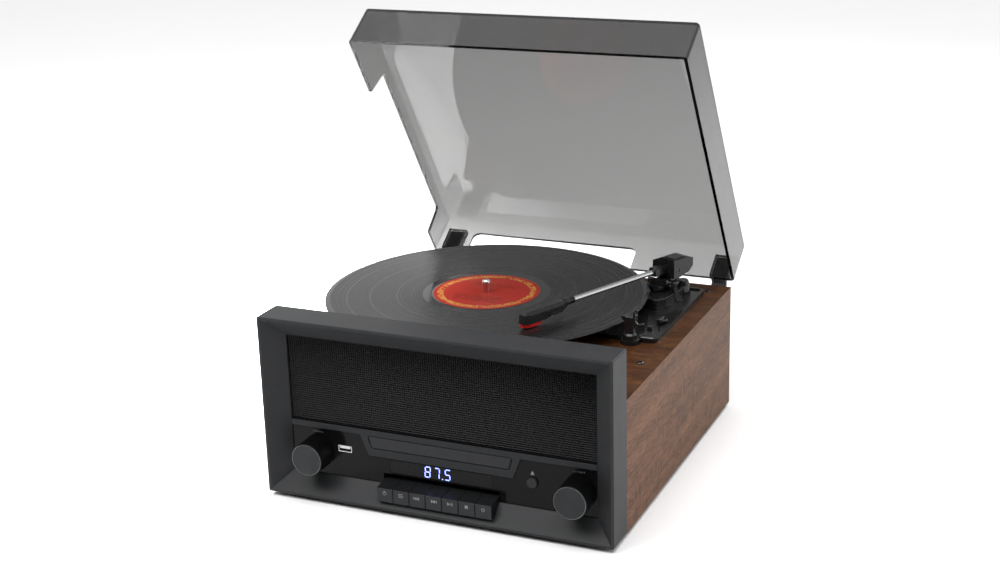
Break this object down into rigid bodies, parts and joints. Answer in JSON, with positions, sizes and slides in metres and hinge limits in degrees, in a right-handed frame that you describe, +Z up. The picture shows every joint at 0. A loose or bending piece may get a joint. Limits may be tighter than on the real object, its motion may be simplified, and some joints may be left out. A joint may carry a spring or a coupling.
{
  "type": "stereo music centre",
  "caption": "Table-top music centre: dark wood cabinet with a record deck under a tilting smoke cover, and a deep front bezel with speakers, CD tray, display, keys and knobs.",
  "frame": {"origin": "on the table under the middle of the cabinet's footprint", "axes": "+X to the right seen from the front, +Y to the rear, +Z up; the front faces -Y"},
  "size_m": [0.348, 0.3926, 0.3963],
  "materials": {
    "wood": "satin dark walnut foil",
    "board_back": "matt black-brown board",
    "bezel_black": "fine matt black",
    "grille_mesh": "fine black mesh",
    "inner_black": "matt black",
    "speaker_steel": "plain steel",
    "paper_cone": "black paper",
    "panel_black": "gloss and satin black",
    "lens_black": "dark clear lens",
    "display_white": "white display body",
    "circuit_board": "green board",
    "socket_metal": "bright metal",
    "knob_black": "satin black",
    "key_black": "satin black",
    "tray_black": "satin black",
    "deck_black": "satin black",
    "arm_black": "satin black",
    "arm_silver": "satin silver",
    "stylus_red": "translucent red",
    "platter_metal": "black painted",
    "mat_rubber": "matt black",
    "vinyl": "gloss black, grooved",
    "steel": "bright",
    "brass": "turned",
    "belt_rubber": "matt black",
    "foot_rubber": "matt black",
    "cover_smoke": "smoke-tinted clear plastic",
    "hinge_black": "matt black"
  },
  "bodies": {
    "cabinet": {"cabinet_top": "wood", "cabinet_left_side": "wood", "cabinet_right_side": "wood", "cabinet_bottom": "board_back", "cabinet_rear": "board_back", "front_bezel": "bezel_black", "speaker_grille": "grille_mesh", "speaker_baffle": "inner_black", "cd_drive_frame": "inner_black", "tuning_encoder": "inner_black", "volume_potentiometer": "inner_black", "mains_inlet": "inner_black", "line_out_jacks": "inner_black", "disc_motor": "inner_black", "speaker_frames": "speaker_steel", "mains_transformer": "speaker_steel", "turntable_motor": "speaker_steel", "speaker_cones": "paper_cone", "control_panel": "panel_black", "display_lens": "lens_black", "display_module": "display_white", "main_board": "circuit_board", "usb_socket": "socket_metal", "turntable_chassis": "deck_black", "tonearm_base": "deck_black", "arm_rest": "deck_black", "hinge_pins": "steel", "drive_belt": "belt_rubber", "rubber_feet": "foot_rubber", "hinge_brackets": "hinge_black"},
    "platter": {"platter": "platter_metal", "slip_mat": "mat_rubber", "record": "vinyl", "spindle": "steel"},
    "pulley": {"motor_pulley": "brass"},
    "arm_swivel": {"tonearm_yoke": "deck_black"},
    "tonearm": {"tonearm_housing": "arm_black", "tonearm_tube": "arm_silver", "headshell": "arm_black", "cartridge": "arm_black", "stylus": "stylus_red"},
    "arm_clip": {"arm_rest_clip": "deck_black"},
    "cue_handle": {"cue_lever": "deck_black"},
    "cue_lift": {"cue_lift_pad": "deck_black"},
    "speed_knob": {"speed_selector": "deck_black"},
    "auto_stop": {"auto_stop_switch": "deck_black"},
    "lid": {"dust_cover": "cover_smoke", "hinge_tongues": "hinge_black"},
    "disc_tray": {"cd_tray": "tray_black", "cd_tray_door": "tray_black"},
    "eject": {"eject_button": "knob_black"},
    "tuning": {"tuning_knob": "knob_black"},
    "volume": {"volume_knob": "knob_black"},
    "key_standby_body": {"key_standby": "key_black"},
    "key_function_body": {"key_function": "key_black"},
    "key_previous_body": {"key_previous": "key_black"},
    "key_next_body": {"key_next": "key_black"},
    "key_play_body": {"key_play": "key_black"},
    "key_stop_body": {"key_stop": "key_black"},
    "key_mode_body": {"key_mode": "key_black"}
  },
  "joints": [
    {"name": "lid_hinge", "type": "hinge", "parent": "cabinet", "child": "lid", "pos_m": [0, 0.173, 0.1057], "axis": [1, 0, 0], "range_deg": [0, 57]},
    {"name": "platter_spin", "type": "hinge", "parent": "cabinet", "child": "platter", "pos_m": [-0.035, 0.032, 0.137], "axis": [0, 0, 1], "continuous": true},
    {"name": "pulley_spin", "type": "hinge", "parent": "cabinet", "child": "pulley", "pos_m": [0.02646, 0.08002, 0.132], "axis": [0, 0, 1], "continuous": true},
    {"name": "arm_swing", "type": "hinge", "parent": "cabinet", "child": "arm_swivel", "pos_m": [0.1131, 0.122, 0.14], "axis": [0, 0, 1], "range_deg": [-18, 27.2]},
    {"name": "arm_lift", "type": "hinge", "parent": "arm_swivel", "child": "tonearm", "pos_m": [0.1131, 0.122, 0.152], "axis": [0.9157, -0.4019, 0], "range_deg": [-7, 0]},
    {"name": "clip_hinge", "type": "hinge", "parent": "cabinet", "child": "arm_clip", "pos_m": [0.12597, -0.0099, 0.149], "axis": [0, -1, 0], "range_deg": [0, 175]},
    {"name": "cue_lever_hinge", "type": "hinge", "parent": "cabinet", "child": "cue_handle", "pos_m": [0.1225, 0.1075, 0.1381], "axis": [0.8387, 0.5446, 0], "range_deg": [-50, 0]},
    {"name": "cue_lift_slide", "type": "slide", "parent": "cabinet", "child": "cue_lift", "axis": [0, 0, 1], "range_m": [0, 0.002]},
    {"name": "speed_turn", "type": "hinge", "parent": "cabinet", "child": "speed_knob", "pos_m": [0.1335, 0.043, 0.126], "axis": [0, 0, 1], "range_deg": [-25, 25]},
    {"name": "auto_stop_slide", "type": "slide", "parent": "cabinet", "child": "auto_stop", "axis": [0, 1, 0], "range_m": [0, 0.005]},
    {"name": "tray_slide", "type": "slide", "parent": "cabinet", "child": "disc_tray", "axis": [0, -1, 0], "range_m": [0, 0.13]},
    {"name": "key_standby_press", "type": "slide", "parent": "cabinet", "child": "key_standby_body", "axis": [0, 1, 0], "range_m": [0, 0.002], "stiffness_N_per_m": 300, "springref_m": -0.001},
    {"name": "key_function_press", "type": "slide", "parent": "cabinet", "child": "key_function_body", "axis": [0, 1, 0], "range_m": [0, 0.002], "stiffness_N_per_m": 300, "springref_m": -0.001},
    {"name": "key_previous_press", "type": "slide", "parent": "cabinet", "child": "key_previous_body", "axis": [0, 1, 0], "range_m": [0, 0.002], "stiffness_N_per_m": 300, "springref_m": -0.001},
    {"name": "key_next_press", "type": "slide", "parent": "cabinet", "child": "key_next_body", "axis": [0, 1, 0], "range_m": [0, 0.002], "stiffness_N_per_m": 300, "springref_m": -0.001},
    {"name": "key_play_press", "type": "slide", "parent": "cabinet", "child": "key_play_body", "axis": [0, 1, 0], "range_m": [0, 0.002], "stiffness_N_per_m": 300, "springref_m": -0.001},
    {"name": "key_stop_press", "type": "slide", "parent": "cabinet", "child": "key_stop_body", "axis": [0, 1, 0], "range_m": [0, 0.002], "stiffness_N_per_m": 300, "springref_m": -0.001},
    {"name": "key_mode_press", "type": "slide", "parent": "cabinet", "child": "key_mode_body", "axis": [0, 1, 0], "range_m": [0, 0.002], "stiffness_N_per_m": 300, "springref_m": -0.001},
    {"name": "eject_press", "type": "slide", "parent": "cabinet", "child": "eject", "axis": [0, 1, 0], "range_m": [0, 0.0015], "stiffness_N_per_m": 300, "springref_m": -0.001},
    {"name": "tuning_turn", "type": "hinge", "parent": "cabinet", "child": "tuning", "pos_m": [-0.1175, -0.163, 0.043], "axis": [0, 1, 0], "continuous": true},
    {"name": "volume_turn", "type": "hinge", "parent": "cabinet", "child": "volume", "pos_m": [0.1265, -0.163, 0.043], "axis": [0, 1, 0], "range_deg": [-150, 150]}
  ],
  "couplings": [
    {"joint": "pulley_spin", "follows": "platter_spin", "ratio": 9.1203},
    {"joint": "cue_lever_hinge", "follows": "cue_lift_slide", "rad_per_m": -436.33}
  ]
}
